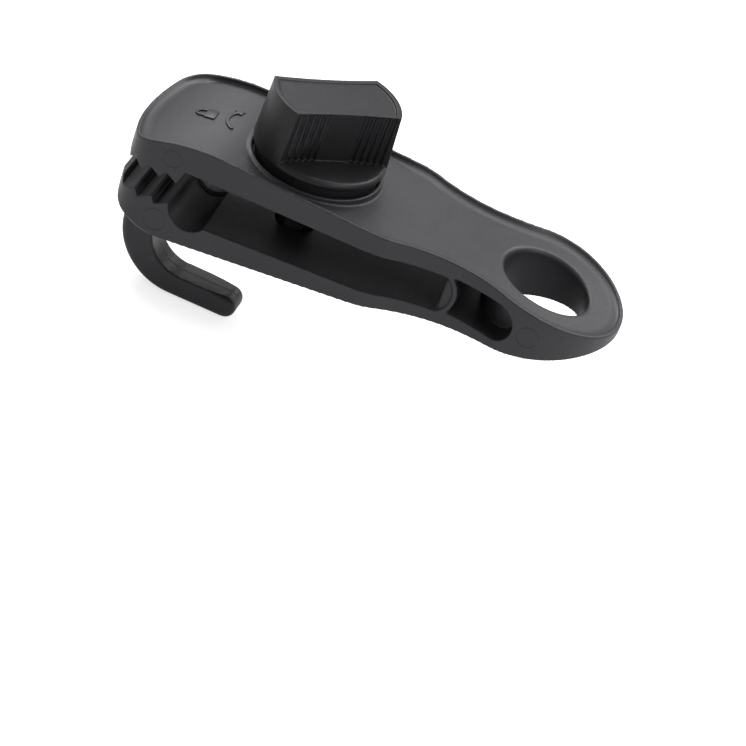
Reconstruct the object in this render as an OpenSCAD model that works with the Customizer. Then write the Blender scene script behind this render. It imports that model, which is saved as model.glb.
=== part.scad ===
// Tarp clip with a turning knob: two moulded jaws, a clamp screw, a hook and a rope eye.
// All sizes are in millimetres. X runs from the teeth to the rope eye, Z is up along the screw.
// Sizes below are counted from the screw axis; every node is then moved so that the origin
// lies in the middle of the rope eye.

/* [Body] */
// Distance from the screw axis to the front of the jaws
front_x = 38.5; // [36:0.5:42]
// Half of the width of the head
half_w = 17.5; // [16.8:0.1:19]
// Radius of the front corners seen from above
corner_r = 6; // [4:0.5:8]
// Radius of the bowed front edge seen from above
front_r = 62; // [50:1:90]
// Radius of the shoulders behind the head
shoulder_r = 14; // [11:0.5:15]
// Distance from the screw axis to the narrowest place of the neck
neck_x = 38; // [37.5:0.1:39]
// How far the neck is drawn in from the sides of the head
neck_in = 3.5; // [3:0.1:4]
// Width of the raised rim round the top
rim_w = 1.2; // [1:0.1:2]
// Depth of the dished top below the rim
dish_depth = 1.6; // [1:0.1:2]

/* [Rope eye] */
// Distance from the screw axis to the rope eye
eye_x = 56; // [55:0.5:58]
// Radius of the rope eye
eye_r = 10.4; // [9:0.1:11]
// How far the ring round the eye stands out past the sides of the head
ring_over = 0.1; // [0:0.1:0.8]
// Thickness of the wall between the eye and the side pockets
eye_wall = 2.2; // [1.8:0.1:3]

/* [Jaws] */
// Distance from the screw axis back to the bending line of the lower jaw
hinge_x = 36; // [35:0.25:36.25]
// Height of the gap between the jaws at the screw
gap_h = 10.6; // [9.5:0.1:11]
// Distance between the tooth tips when the clip is open
mouth_h = 5.4; // [5.2:0.1:6]
// Distance from tooth to tooth
tooth_pitch = 4; // [3.6:0.1:4.1]
// Height of a tooth
tooth_h = 1.7; // [1.2:0.1:2]
// Radius of the round seat behind the teeth
seat_r = 4.7; // [4.2:0.1:5]
// Thickness of the curved web at the end of the gap
web_t = 1.4; // [1:0.1:1.6]
// Radial play of the round end of the lower jaw in its seat
hinge_play = 0.06; // [0.03:0.01:0.1]

/* [Hook] */
// Depth of the hook's lowest point below the top of the jaws at the screw
hook_drop = 45; // [43:0.5:50]
// Width of the hook
hook_w = 7; // [5:0.5:9]
// Inner radius of the hook
hook_in_r = 8.1; // [7:0.1:8.5]
// Outer radius of the hook
hook_out_r = 14.5; // [14.2:0.1:15.5]
// Thickness of the tip of the hook
hook_tip_t = 4.5; // [4:0.1:5]

/* [Knob] */
// Radius of the knob's flange
flange_r = 15; // [14.5:0.1:15.5]
// Height of the grip above the flange
grip_h = 12.6; // [10:0.2:16]
// Thickness of the grip
grip_t = 14.4; // [13.6:0.2:16]
// Hollow of the long sides of the grip
grip_hollow = 0.5; // [0.3:0.1:0.8]
// Radius of the grip's round ends at the top
grip_r = 14.2; // [13.6:0.1:14.4]
// Turn of the grip from the length of the clip, in degrees
grip_turn = 40; // [0:5:90]
// Number of ribs in each group on the grip
rib_n = 6; // [3:1:6]
// Distance from rib to rib
rib_pitch = 1.3; // [1.1:0.05:1.4]
// Depth of the panel in the top of the grip
panel_depth = 0.5; // [0.3:0.1:0.8]

/* [Clamp screw] */
// Radius of the clamp screw
screw_r = 4; // [3.5:0.1:4.2]
// Pitch of the screw thread
thread_pitch = 3; // [2:0.25:3.5]
// Depth of the thread
thread_depth = 0.6; // [0.3:0.1:0.8]
// Width of the nut across its flats
nut_flats = 13; // [12:0.2:13.6]
// Thickness of the nut
nut_t = 5; // [4:0.2:6]
// Radial play of the nut on the thread
thread_play = 0.06; // [0.03:0.01:0.1]

/* [Hidden] */
$fn = 96;
body_col = [0.13, 0.13, 0.14];
knob_col = [0.11, 0.11, 0.12];
steel_col = [0.72, 0.72, 0.74];
eps = 0.01;
arc_n = 12;
far = 60;

// Top line of the body: a straight slope with a round front and a round tail
top_z = -0.6;
top_slope = -0.047;
top_angle = atan(top_slope);
front_arc_x = -16;
front_arc_r = 42;
tail_arc_x = 42;
tail_top_r = 125;
// Bottom line of the body
bottom_z = -21.9;
bottom_slope = 0.1;
bottom_angle = atan(bottom_slope);
tail_bottom_x = 45;
tail_bottom_r = 130;
nose_r = 5.5;
// Gap between the jaws
gap_top = -6.4;
gap_slope = 0.048;
gap_low = gap_top - gap_h;
tip_z = -10.3;
crest_z = tip_z - mouth_h;
last_tip_x = -24.8;
crest_lag = 0.3;
tooth_back = 0.375;
tooth_n = 3;
seat_x = -19.7;
seat_z = -15.3;
web_bulge = 1.5;
web_foot_x = 37.4;
// Pocket in both sides behind the web
pocket_top = -5.9;
pocket_low = -14.6;
pocket_x = 50;
pocket_r = (pocket_top - pocket_low) / 2;
// Plan of the body as arcs that run into each other
corner_x = front_r - front_x - sqrt(pow(front_r - corner_r, 2) - pow(half_w - corner_r, 2));
ring_x = eye_x + 1.2;
ring_r = half_w + ring_over;
neck_half_w = half_w - neck_in;
neck_run = ring_x - neck_x;
neck_r = (pow(neck_run, 2) + pow(neck_half_w, 2) - pow(ring_r, 2)) / (2 * (ring_r - neck_half_w));
neck_c = neck_half_w + neck_r;
shoulder_y = half_w - shoulder_r;
shoulder_run = sqrt(pow(neck_r + shoulder_r, 2) - pow(neck_c - shoulder_y, 2));
shoulder_x = neck_x - shoulder_run;
eye_z = -10.7;
// Hinge line of the lower jaw, in the middle of its root
root_top = low_z(hinge_x);
root_low = under_z(hinge_x);
hinge_z = (root_top + root_low) / 2;
hinge_r = (root_top - root_low) / 2 * cos(bottom_angle);
// Hook
hook_root_x = -36.3;
hook_low_z = -hook_drop;
hook_tip_x = -6;
hook_out_x = hook_root_x + hook_out_r;
hook_out_z = hook_low_z + hook_out_r;
hook_in_z = hook_low_z + hook_tip_t + hook_in_r;
hook_in_x = -20.5;
hook_sink = 4;
hook_root_z = under_z(hook_root_x) + hook_sink;
// Collar on the upper jaw and knob
collar_r = flange_r + 0.5;
collar_t = 1.3;
collar_top = -0.4;
collar_floor = -2.9;
washer_t = 1;
washer_r = 9;
bush_play = 0.1;
knob_low = collar_floor + washer_t + bush_play;
plug_r = collar_r - collar_t - 0.4;
flange_low = 0.9;
flange_top = 2.9;
flange_edge = (flange_top - flange_low) / 2;
grip_top = flange_top + grip_h;
hollow_r = (pow(grip_r, 2) + pow(grip_hollow, 2)) / (2 * grip_hollow);
rib_r = 0.5;
rib_gap = 0.9;
panel_rim = 1.1;
// Screw, nut and rings
head_flats = 10;
head_t = 5;
head_z = 4;
seat_play = 0.03;
hole_r = screw_r + 0.25;
slot_r = screw_r + 0.6;
nut_roof = -19.1;
nut_tilt_gap = 0.65;
nut_top = nut_roof - nut_tilt_gap;
nut_low = nut_top - nut_t;
nut_play = 0.7;
boss_r = (nut_flats / 2 + nut_play) / cos(30) + 1.6;
boss_h = 5.2;
boss_low = nut_roof - boss_h;
ring_t = 1;
ring_groove = 0.6;
clip_top = gap_top - 0.15;
ring_reach = 2;
clip_reach = ring_reach + 1;
clip_r = screw_r + clip_reach;
stop_top = nut_low - 0.4;
stop_r = screw_r + ring_reach;
screw_low = stop_top - ring_t - 1.4;
thread_top = gap_low + 2.5;
thread_n = floor((thread_top - stop_top - 1) / thread_pitch);

// Heights of the slanted lines at a place along the clip
function rim_z(x) = top_z + top_slope * x;
function under_z(x) = bottom_z + bottom_slope * x;
function low_z(x) = gap_low + gap_slope * x;
// Points of an arc about a centre, from one angle to another
function arc(cx, cz, r, a0, a1) =
    [for (i = [0 : arc_n]) let (a = a0 + (a1 - a0) * i / arc_n) [cx + r * cos(a), cz + r * sin(a)]];
// Angle at which a circle reaches a place along the clip, on its upper half
function reach(x, cx, r) = acos((x - cx) / r);

// Move a node from the screw axis to the rope eye
module placed() {
    translate([-eye_x, 0, -eye_z]) children();
}

// Stand a drawing of the side up and give it a width
module side(w) {
    rotate([90, 0, 0]) linear_extrude(height = w, center = true) children();
}

// Body seen from above, drawn in from its edge by a rim
module plan(inset) {
    neck_dir = [shoulder_run, neck_c - shoulder_y] / (neck_r + shoulder_r);
    ring_dir = [-neck_run, neck_c] / (neck_r + ring_r);
    neck_from = shoulder_x + (shoulder_r - inset) * neck_dir[0];
    neck_to = ring_x + (ring_r - inset) * ring_dir[0];
    intersection() {
        translate([front_r - front_x, 0]) circle(r = front_r - inset, $fn = 180);
        union() {
            head_plan(inset);
            translate([shoulder_x, -shoulder_y]) square([shoulder_r - inset, 2 * shoulder_y]);
            for (s = [-1, 1])
                translate([shoulder_x, s * shoulder_y]) circle(r = shoulder_r - inset);
        }
    }
    difference() {
        translate([neck_from, -half_w]) square([neck_to - neck_from, 2 * half_w]);
        for (s = [-1, 1])
            translate([neck_x, s * neck_c]) circle(r = neck_r + inset);
    }
    translate([ring_x, 0]) circle(r = ring_r - inset);
}

// Front of the body seen from above, between the corners and the shoulders
module head_plan(inset) {
    hw = half_w - inset;
    bow_hw = (front_r - inset) * (half_w - corner_r) / (front_r - corner_r);
    translate([corner_x, -hw]) square([shoulder_x - corner_x, 2 * hw]);
    translate([-front_x, -bow_hw]) square([corner_x + front_x, 2 * bow_hw]);
    for (s = [-1, 1])
        translate([corner_x, s * (half_w - corner_r)]) circle(r = corner_r - inset);
}

// Everything below the top line, lowered by a depth
module below_top(drop) {
    fc = [front_arc_x + front_arc_r * sin(top_angle), rim_z(front_arc_x) - front_arc_r * cos(top_angle)];
    tc = [tail_arc_x + tail_top_r * sin(top_angle), rim_z(tail_arc_x) - tail_top_r * cos(top_angle)];
    lean = 90 + top_angle;
    front = arc(fc[0], fc[1] - drop, front_arc_r, reach(-front_x - 1, fc[0], front_arc_r), lean);
    tail = arc(tc[0], tc[1] - drop, tail_top_r, lean, reach(ring_x + ring_r + 1, tc[0], tail_top_r));
    polygon(concat([[-front_x - 1, -far]], front, tail, [[ring_x + ring_r + 1, -far]]));
}

// Everything above the bottom line
module above_bottom() {
    lean = bottom_angle - 90;
    bc = [tail_bottom_x + tail_bottom_r * sin(-bottom_angle),
          under_z(tail_bottom_x) + tail_bottom_r * cos(bottom_angle)];
    nose_x = nose_r - front_x;
    nc = [nose_x, under_z(nose_x) + nose_r / cos(bottom_angle)];
    tail = arc(bc[0], bc[1], tail_bottom_r, -reach(ring_x + ring_r + 1, bc[0], tail_bottom_r), lean);
    nose = arc(nc[0], nc[1], nose_r, lean, -180);
    polygon(concat([[ring_x + ring_r + 1, far]], tail, nose, [[-front_x, far]]));
}

// Space between the jaws, from the toothed mouth to the curved web
module gap_side() {
    tips = [for (i = [tooth_n : -1 : 0]) last_tip_x - i * tooth_pitch];
    upper = [for (t = tips) for (k = [0, 1])
        [t + k * tooth_back * tooth_pitch, tip_z + k * tooth_h]];
    lower = [for (i = [0 : tooth_n]) for (k = [1, 0])
        [last_tip_x - crest_lag - i * tooth_pitch + k * tooth_back * tooth_pitch, crest_z - k * tooth_h]];
    lower_open = [for (i = [1 : len(lower) - 1]) lower[i]];
    upper_open = [for (i = [0 : len(upper) - 2]) upper[i]];
    roof_x = last_tip_x + tooth_back * tooth_pitch;
    floor_x = seat_x + seat_r - 0.2;
    polygon(concat([[-front_x - 1, tip_z + tooth_h]], upper_open, [[roof_x, gap_top]],
        web_arc(0), [[floor_x, low_z(floor_x)], [seat_x, low_z(seat_x)], [seat_x, seat_z]],
        lower_open, [[-front_x - 1, crest_z - tooth_h]]));
    translate([seat_x, seat_z]) circle(r = seat_r);
}

// Curved end of the gap, moved back by the thickness of the web
function web_mid() = (gap_top + low_z(web_foot_x)) / 2;
function web_half() = (gap_top - low_z(web_foot_x)) / 2;
function web_r() = (pow(web_half(), 2) + pow(web_bulge, 2)) / (2 * web_bulge);
function web_cx() = web_foot_x + web_bulge - web_r();
function web_arc(t) = let (a = asin(web_half() / (web_r() + t)))
    arc(web_cx(), web_mid(), web_r() + t, a, -a);

// Pocket behind the web
module pocket_side() {
    difference() {
        union() {
            translate([web_foot_x, pocket_low]) square([pocket_x - web_foot_x, 2 * pocket_r]);
            translate([pocket_x, pocket_low + pocket_r]) circle(r = pocket_r);
        }
        translate([web_cx(), web_mid()]) circle(r = web_r() + web_t);
        translate([web_foot_x - eps, pocket_low - eps]) square([web_t + eps, 2 * pocket_r + 2 * eps]);
    }
}

// Outline of the whole moulding seen from the side, without the gap
module moulding_side() {
    difference() {
        intersection() {
            below_top(0);
            above_bottom();
        }
        gap_side();
    }
}

// Upper jaw with the top dish, collar, rope eye and root of the lower jaw
module upper_jaw() {
    color(body_col) placed() difference() {
        union() {
            difference() {
                intersection() {
                    translate([0, 0, -far]) linear_extrude(height = 2 * far) plan(0);
                    side(2 * far) upper_side();
                }
                dish();
            }
            translate([0, 0, gap_top + 1]) cylinder(r = collar_r, h = collar_top - gap_top - 1);
        }
        translate([0, 0, collar_floor]) cylinder(r = collar_r - collar_t, h = far);
        translate([0, 0, gap_top - 1]) cylinder(r = hole_r, h = far);
        side_pockets();
        eye();
    }
}

// Side of the upper jaw and of the ring behind it
module upper_side() {
    difference() {
        moulding_side();
        lower_side(hinge_play);
    }
}

// Side of the lower jaw up to its round rear end; grown, the round end cuts its own seat
module lower_side(grow) {
    parting_z = (tip_z + crest_z) / 2;
    translate([hinge_x, hinge_z]) circle(r = hinge_r + grow);
    intersection() {
        moulding_side();
        translate([-far, parting_z - far]) square([far + hinge_x, far]);
    }
}

// Hollow of the top inside its rim
module dish() {
    difference() {
        translate([0, 0, -far]) linear_extrude(height = 2 * far) plan(rim_w);
        side(2 * far) below_top(dish_depth);
    }
}

// Pockets in both sides, kept clear of the wall round the eye
module side_pockets() {
    difference() {
        side(2 * far) pocket_side();
        translate([eye_x, 0, -far]) cylinder(r = eye_r + eye_wall, h = 2 * far);
    }
}

// Rope eye
module eye() {
    translate([eye_x, 0, -far]) cylinder(r = eye_r, h = 2 * far);
}

// Lower jaw with the round seat, nut boss and hook
module lower_jaw() {
    color(body_col) placed() difference() {
        union() {
            intersection() {
                translate([0, 0, -far]) linear_extrude(height = 2 * far) plan(0);
                side(2 * far) lower_side(0);
            }
            translate([0, 0, boss_low]) cylinder(r = boss_r, h = nut_roof - boss_low + 1);
            side(hook_w) hook_side();
        }
        translate([0, 0, boss_low - 1]) cylinder(r = slot_r, h = far);
        translate([0, 0, boss_low - 1]) hex(nut_flats + 2 * nut_play, nut_roof - boss_low + 1);
    }
}

// Hook seen from the side: a tapering bend and a straight tip with a round end
module hook_side() {
    tip_r = hook_tip_t / 2;
    difference() {
        union() {
            translate([hook_out_x, hook_out_z]) circle(r = hook_out_r);
            translate([hook_root_x, hook_out_z]) square([hook_out_r, hook_root_z - hook_out_z]);
        }
        translate([hook_in_x, hook_in_z]) circle(r = hook_in_r);
        translate([hook_in_x - hook_in_r, hook_in_z]) square([far, far]);
        translate([hook_in_x, hook_in_z - hook_in_r]) square([far, far]);
    }
    translate([hook_in_x, hook_low_z]) square([hook_tip_x - tip_r - hook_in_x, hook_tip_t]);
    translate([hook_tip_x - tip_r, hook_low_z + tip_r]) circle(r = tip_r);
}

// Six-sided block with two flats along the clip
module hex(flats, h) {
    cylinder(r = flats / 2 / cos(30), h = h, $fn = 6);
}

// Knob with flange, grip and a hollow for the head of the screw
module clamp_knob() {
    color(knob_col) placed() difference() {
        union() {
            translate([0, 0, knob_low]) cylinder(r = plug_r, h = flange_top - knob_low);
            flange();
            rotate(grip_turn) grip();
        }
        translate([0, 0, knob_low - 1]) cylinder(r = screw_r + seat_play, h = head_z - knob_low + 2);
        translate([0, 0, head_z - seat_play]) hex(head_flats + 2 * seat_play, head_t + 2 * seat_play);
    }
}

// Flange with a round edge
module flange() {
    rotate_extrude() {
        translate([0, flange_low]) square([flange_r - flange_edge, 2 * flange_edge]);
        translate([flange_r - flange_edge, flange_low + flange_edge]) circle(r = flange_edge);
    }
}

// Grip with round ends that run up from the flange, hollow sides, ribs and a sunk panel
module grip() {
    foot = flange_low + flange_edge;
    difference() {
        intersection() {
            translate([0, 0, foot]) cylinder(r1 = flange_r, r2 = grip_r, h = grip_top - foot);
            union() {
                translate([0, 0, foot]) linear_extrude(height = grip_top - foot) grip_plan(0);
                ribs();
            }
        }
        translate([0, 0, grip_top - panel_depth]) linear_extrude(height = panel_depth + 1) intersection() {
            circle(r = grip_r - panel_rim);
            grip_plan(panel_rim);
        }
    }
}

// Grip between its hollow sides, seen from above and drawn in by an inset
module grip_plan(inset) {
    difference() {
        square([2 * flange_r, grip_t - 2 * inset], center = true);
        for (s = [-1, 1])
            translate([0, s * (grip_t / 2 - grip_hollow + hollow_r)])
                circle(r = hollow_r + inset, $fn = 360);
    }
}

// Upright ribs in two groups on both sides of the grip
module ribs() {
    last_x = sqrt(pow(grip_r, 2) - pow(grip_t / 2, 2)) - rib_gap;
    for (s = [-1, 1]) for (t = [-1, 1]) for (i = [0 : rib_n - 1]) {
        x = last_x - i * rib_pitch;
        hollow = hollow_r - sqrt(pow(hollow_r, 2) - pow(x, 2));
        y = grip_t / 2 - grip_hollow + hollow - rib_r / 4;
        translate([t * x, s * y, flange_top - eps]) cylinder(r = rib_r, h = grip_h + eps);
    }
}

// Screw with a six-sided head, grooves for the rings and thread ridges
module clamp_screw() {
    color(steel_col) placed() {
        translate([0, 0, head_z]) hex(head_flats, head_t);
        rotate_extrude() difference() {
            translate([0, screw_low]) square([screw_r, head_z - screw_low + eps]);
            for (i = [0 : thread_n - 1])
                translate([screw_r, thread_top - i * thread_pitch]) rotate(45)
                    square(thread_depth * sqrt(2), center = true);
            for (z = [clip_top, stop_top])
                translate([screw_r - ring_groove, z - ring_t - bush_play]) square([1, ring_t + 2 * bush_play]);
        }
    }
}

// Ring that sits in a groove of the screw
module groove_ring(r, top) {
    translate([0, 0, top - ring_t]) difference() {
        cylinder(r = r, h = ring_t);
        translate([0, 0, -1]) cylinder(r = screw_r - ring_groove + seat_play, h = ring_t + 2);
    }
}

module thrust_washer() {
    color(steel_col) placed() translate([0, 0, collar_floor]) difference() {
        cylinder(r = washer_r, h = washer_t);
        translate([0, 0, -1]) cylinder(r = hole_r, h = washer_t + 2);
    }
}

module retaining_clip() {
    color(steel_col) placed() groove_ring(clip_r, clip_top);
}

module clamp_nut() {
    color(steel_col) placed() translate([0, 0, nut_low]) difference() {
        hex(nut_flats, nut_t);
        translate([0, 0, -1]) cylinder(r = screw_r + thread_play, h = nut_t + 2);
    }
}

module stop_ring() {
    color(steel_col) placed() groove_ring(stop_r, stop_top);
}

upper_jaw();
lower_jaw();
clamp_knob();
clamp_screw();
thrust_washer();
retaining_clip();
clamp_nut();
stop_ring();
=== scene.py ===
# %% [markdown]
# # A tarp clip with a turning knob
#
# The clip is a black plastic moulding with two toothed jaws, a hook and a rope eye. A knob on a screw
# draws the jaws together. The CAD model holds the sizes and the joints; this lesson models the moulded
# skins that go over it, with soft edges, gives every surface its finish and lights the picture.
#
# First the imported CAD model is loaded. Its box is kept, and the lamps are aimed at its middle.

# %% Load the frame
import math

import bpy
from mathutils import Matrix, Vector, kdtree


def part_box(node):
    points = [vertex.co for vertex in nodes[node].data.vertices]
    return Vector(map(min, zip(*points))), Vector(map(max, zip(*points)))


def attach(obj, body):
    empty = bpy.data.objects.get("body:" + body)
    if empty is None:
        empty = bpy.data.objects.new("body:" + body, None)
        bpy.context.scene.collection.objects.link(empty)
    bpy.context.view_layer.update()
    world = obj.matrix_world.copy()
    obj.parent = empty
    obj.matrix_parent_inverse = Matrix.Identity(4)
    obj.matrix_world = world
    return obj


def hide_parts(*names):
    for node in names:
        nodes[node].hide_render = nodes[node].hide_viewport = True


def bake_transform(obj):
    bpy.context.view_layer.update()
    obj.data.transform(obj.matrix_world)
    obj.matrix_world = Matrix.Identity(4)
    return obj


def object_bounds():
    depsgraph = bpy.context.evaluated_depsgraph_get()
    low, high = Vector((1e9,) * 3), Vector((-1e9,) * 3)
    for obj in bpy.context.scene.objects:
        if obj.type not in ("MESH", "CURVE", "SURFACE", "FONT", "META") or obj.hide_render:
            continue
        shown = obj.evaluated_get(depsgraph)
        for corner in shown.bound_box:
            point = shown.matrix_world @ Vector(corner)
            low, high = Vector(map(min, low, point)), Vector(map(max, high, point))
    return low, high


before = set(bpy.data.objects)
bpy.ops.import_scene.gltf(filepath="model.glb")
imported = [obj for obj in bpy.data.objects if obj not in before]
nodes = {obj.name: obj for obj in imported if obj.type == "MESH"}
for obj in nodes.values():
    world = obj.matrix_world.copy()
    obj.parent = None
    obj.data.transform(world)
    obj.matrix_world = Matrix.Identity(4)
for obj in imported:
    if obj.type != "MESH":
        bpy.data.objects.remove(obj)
cad_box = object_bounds()
print("CAD nodes:", sorted(nodes))

# %% [markdown]
# ## Where the pieces are modelled
#
# Blender works in metres, and a clip of 11 cm is tiny there. The pieces are therefore modelled in
# millimetres, counted from the screw axis at the top of the jaws, because every shape of the clip
# is easy to describe from there. When a piece is done it is scaled to metres and moved to its place.
# The washer under the knob lies on the collar floor, so its box tells where the screw axis is.

# %% Place of the screw axis
MM = 0.001
COLLAR_FLOOR = -2.9

washer_low, washer_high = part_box("thrust_washer")
screw_place = Vector(((washer_low.x + washer_high.x) / 2, 0, washer_low.z - COLLAR_FLOOR * MM))
print("Screw axis, in metres:", tuple(round(value, 4) for value in screw_place))


def in_frame(x, y, z):
    """A point in millimetres from the screw axis, as a point of the frame in metres."""
    return screw_place + Vector((x, y, z)) * MM


# %% [markdown]
# ## Small tools for modelling
#
# An operator acts on everything that is selected, so each step starts from an empty selection.
# A flat shape starts as a filled circle with as many corners as its outline, and each corner is moved
# onto the outline. It is then extruded. Shapes are joined and cut with the Boolean modifier.

# %% Selection, flat shapes and booleans
SIDE_AXIS = 1
UP_AXIS = 2


def clear_selection():
    if bpy.context.mode != "OBJECT":
        bpy.ops.object.mode_set(mode="OBJECT")
    bpy.ops.object.select_all(action="DESELECT")


def pick(obj):
    clear_selection()
    obj.select_set(True)
    bpy.context.view_layer.objects.active = obj


def flat_shape(name, points, normal_axis):
    """A filled outline, drawn from the side or from above."""
    clear_selection()
    bpy.ops.mesh.primitive_circle_add(vertices=len(points), radius=1, fill_type="NGON")
    shape = bpy.context.object
    shape.name = name
    for corner, (a, b) in zip(shape.data.vertices, points):
        corner.co = (a, 0, b) if normal_axis == SIDE_AXIS else (a, b, 0)
    return shape


def extrude(shape, low, high, axis):
    """Move a flat shape to one end of its depth and extrude it to the other."""
    start, lift = Vector(), Vector()
    start[axis] = low
    lift[axis] = high - low
    pick(shape)
    bpy.ops.object.mode_set(mode="EDIT")
    bpy.ops.mesh.select_all(action="SELECT")
    bpy.ops.transform.translate(value=start)
    bpy.ops.mesh.extrude_region_move(TRANSFORM_OT_translate={"value": lift})
    bpy.ops.mesh.select_all(action="SELECT")
    bpy.ops.mesh.normals_make_consistent(inside=False)
    bpy.ops.object.mode_set(mode="OBJECT")
    return shape


def apply_modifier(obj, name, kind, **settings):
    pick(obj)
    modifier = obj.modifiers.new(name, kind)
    for setting, value in settings.items():
        setattr(modifier, setting, value)
    bpy.ops.object.modifier_apply(modifier=modifier.name)


def combine(target, tool, operation):
    """Join a tool to the target, cut it away, or keep what they share."""
    apply_modifier(target, operation.title(), "BOOLEAN", operation=operation, object=tool, solver="EXACT")
    bpy.data.objects.remove(tool)
    return target


def round_bar(name, radius, low, high, x=0.0, sides=128):
    """An upright round tool, such as the core that leaves a hole in a moulding."""
    clear_selection()
    bpy.ops.mesh.primitive_cylinder_add(
        vertices=sides, radius=radius, depth=high - low, location=(x, 0, (low + high) / 2)
    )
    bar = bpy.context.object
    bar.name = name
    return bar


def loft(name, rings):
    """A solid through rings with equally many points, each ring extruded from the one before."""
    shape = flat_shape(name, [point[:2] for point in rings[0]], UP_AXIS)
    for corner, point in zip(shape.data.vertices, rings[0]):
        corner.co = point
    pick(shape)
    bpy.ops.object.mode_set(mode="EDIT")
    bpy.ops.mesh.select_all(action="SELECT")
    for ring, following in zip(rings, rings[1:]):
        finder = kdtree.KDTree(len(ring))
        for number, point in enumerate(ring):
            finder.insert(point, number)
        finder.balance()
        bpy.ops.mesh.extrude_region_move()
        bpy.ops.object.mode_set(mode="OBJECT")
        for corner in shape.data.vertices:
            if corner.select:
                corner.co = following[finder.find(corner.co)[1]]
        bpy.ops.object.mode_set(mode="EDIT")
    bpy.ops.mesh.select_all(action="SELECT")
    bpy.ops.mesh.normals_make_consistent(inside=False)
    bpy.ops.object.mode_set(mode="OBJECT")
    return shape


# %% [markdown]
# ## Lines of the moulding
#
# Seen from the side, the clip has a long sloping top that rounds off towards the teeth and the tail,
# and a bottom that rises towards the tail. Seen from above it is made of arcs that run into each other:
# a bowed front, round corners, shoulders, a hollow neck and the ring round the eye.
# Each line is a few named sizes and the arcs between them. A shape that is cut later, or cuts another,
# reaches a little past the place where it is cut.

# %% Arcs and the side lines
ARC_STEPS = 24
PAST = 1.0
FRONT_X, TAIL_X = -39.1, 74.8
NOSE_X, NOSE_R, SIDE_NOSE_R, MOUTH_Z = -38.0, 8.5, 13.0, -13.0
TOP_Z, TOP_SLOPE = -0.6, -0.047
TOP_ANGLE = math.degrees(math.atan(TOP_SLOPE))
FRONT_ARC_X, FRONT_ARC_R = -16.0, 42.0
TAIL_ARC_X, TAIL_ARC_R = 42.0, 125.0
BOTTOM_Z, BOTTOM_SLOPE = -21.9, 0.1
BOTTOM_ANGLE = math.degrees(math.atan(BOTTOM_SLOPE))
BOTTOM_ARC_X, BOTTOM_ARC_R = 45.0, 130.0


def arc(x, y, radius, start, end, steps=ARC_STEPS):
    """Points of an arc about a centre, with its angles in degrees."""
    angles = [math.radians(start + (end - start) * i / steps) for i in range(steps + 1)]
    return [(x + radius * math.cos(a), y + radius * math.sin(a)) for a in angles]


def full_ring(x, y, radius, sides):
    """Points of a whole circle, without the last one that would lie on the first."""
    return arc(x, y, radius, 0, 360 - 360 / sides, sides - 1)


def angle_at(x, centre_x, radius):
    """The angle at which the upper half of a circle stands over a place along the clip."""
    return math.degrees(math.acos((x - centre_x) / radius))


def top_z(x):
    return TOP_Z + TOP_SLOPE * x


def bottom_z(x):
    return BOTTOM_Z + BOTTOM_SLOPE * x


def under_tangent(x, z, radius, angle):
    """Centre of an arc that leaves a sloping line at a point and bends down from it."""
    lean = math.radians(angle)
    return x + radius * math.sin(lean), z - radius * math.cos(lean)


def top_line(drop):
    """The top of the clip from the teeth to the tail, lowered by a depth."""
    front = under_tangent(FRONT_ARC_X, top_z(FRONT_ARC_X), FRONT_ARC_R, TOP_ANGLE)
    tail = under_tangent(TAIL_ARC_X, top_z(TAIL_ARC_X), TAIL_ARC_R, TOP_ANGLE)
    lean = 90 + TOP_ANGLE
    start = angle_at(FRONT_X - PAST, front[0], FRONT_ARC_R)
    end = angle_at(TAIL_X + PAST, tail[0], TAIL_ARC_R)
    line = arc(front[0], front[1] - drop, FRONT_ARC_R, start, lean)
    return line + arc(tail[0], tail[1] - drop, TAIL_ARC_R, lean, end)


def bottom_line(nose_r):
    """The bottom of the clip from the tail to the round nose under the teeth."""
    tail_x, tail_z = under_tangent(BOTTOM_ARC_X, bottom_z(BOTTOM_ARC_X), -BOTTOM_ARC_R, BOTTOM_ANGLE)
    nose_x = NOSE_X + nose_r
    nose_z = bottom_z(nose_x) + nose_r / math.cos(math.radians(BOTTOM_ANGLE))
    lean = BOTTOM_ANGLE - 90
    line = arc(tail_x, tail_z, BOTTOM_ARC_R, -angle_at(TAIL_X + PAST, tail_x, BOTTOM_ARC_R), lean)
    at_mouth = math.degrees(math.asin(max(0, nose_z - MOUTH_Z) / nose_r)) - 180
    line += arc(nose_x, nose_z, nose_r, lean, at_mouth)
    return line + [(NOSE_X, MOUTH_Z), (FRONT_X - PAST, MOUTH_Z)]


def floor_z(x, depth):
    """Height of the dished top at a place along the clip."""
    if FRONT_ARC_X < x < TAIL_ARC_X:
        return top_z(x) - depth
    start, radius = (TAIL_ARC_X, TAIL_ARC_R) if x > 0 else (FRONT_ARC_X, FRONT_ARC_R)
    centre_x, centre_z = under_tangent(start, top_z(start), radius, TOP_ANGLE)
    return centre_z + math.sqrt(radius**2 - (x - centre_x) ** 2) - depth


# %% Outline from above
HALF_W = 18.0
FRONT_R, CORNER_R, SHOULDER_R = 45.0, 6.0, 14.0
NECK_X, NECK_HALF_W = 38.0, 14.3
EYE_X, EYE_R = 56.3, 9.9
RING_X, RING_R = 56.8, 17.8


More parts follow.
